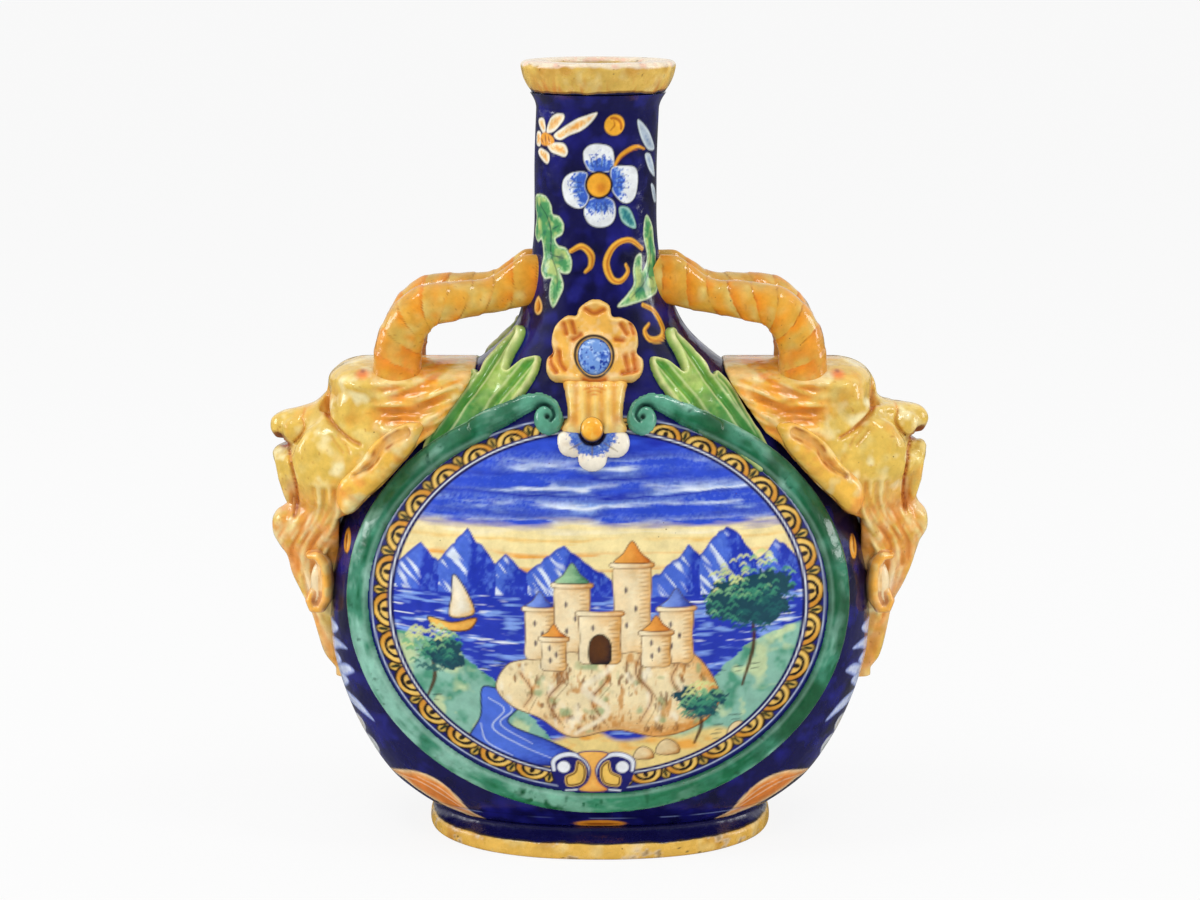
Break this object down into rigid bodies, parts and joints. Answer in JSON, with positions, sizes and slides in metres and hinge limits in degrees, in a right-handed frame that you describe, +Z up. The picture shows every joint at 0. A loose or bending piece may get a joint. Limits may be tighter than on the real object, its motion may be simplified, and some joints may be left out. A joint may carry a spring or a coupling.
{
  "type": "pilgrim flask",
  "caption": "Glazed terracotta pilgrim flask: flattened round body on a low oval foot, tall neck with a rolled lip, satyr masks whose horns are the handles.",
  "frame": {"origin": "centre of the foot's underside, on the surface that the flask stands on", "axes": "+Z up along the neck, +X to the right mask, -Y out of the front medallion"},
  "size_m": [0.342, 0.164, 0.4],
  "materials": {
    "cobalt": "deep cobalt blue tin glaze with painted flowers and leaves, glossy",
    "painted": "tin glaze painted with a landscape inside an egg border, glossy",
    "ochre": "ochre yellow glaze, worn to bare clay on edges",
    "green": "copper green glaze, pooled darker in the hollows, glossy",
    "flesh": "cream yellow glaze shaded with orange brown, glossy",
    "orange": "yellow orange glaze with brown shading, glossy",
    "cabochon": "blue glaze, glossy",
    "flower": "white glaze shaded with blue, glossy"
  },
  "bodies": {
    "root": {"acanthus_leaf_left_back": "green", "acanthus_leaf_left_front": "green", "acanthus_leaf_right_back": "green", "acanthus_leaf_right_front": "green", "beard_curl_left_back": "orange", "beard_curl_left_front": "orange", "beard_curl_right_back": "orange", "beard_curl_right_front": "orange", "body_back": "cobalt", "body_front": "painted", "cabochon_back": "cabochon", "cabochon_front": "cabochon", "ear_left_back": "orange", "ear_left_front": "orange", "ear_right_back": "orange", "ear_right_front": "orange", "flower_back": "flower", "flower_boss_back": "ochre", "flower_boss_front": "ochre", "flower_front": "flower", "foot_ring": "cobalt", "frame_ring_back": "green", "frame_ring_front": "green", "horn_left_back": "orange", "horn_left_front": "orange", "horn_right_back": "orange", "horn_right_front": "orange", "mouth_rim": "ochre", "neck": "cobalt", "palmette_back": "orange", "palmette_front": "orange", "palmette_stem_back": "orange", "palmette_stem_front": "orange", "satyr_mask_left": "flesh", "satyr_mask_right": "flesh"}
  },
  "joints": []
}
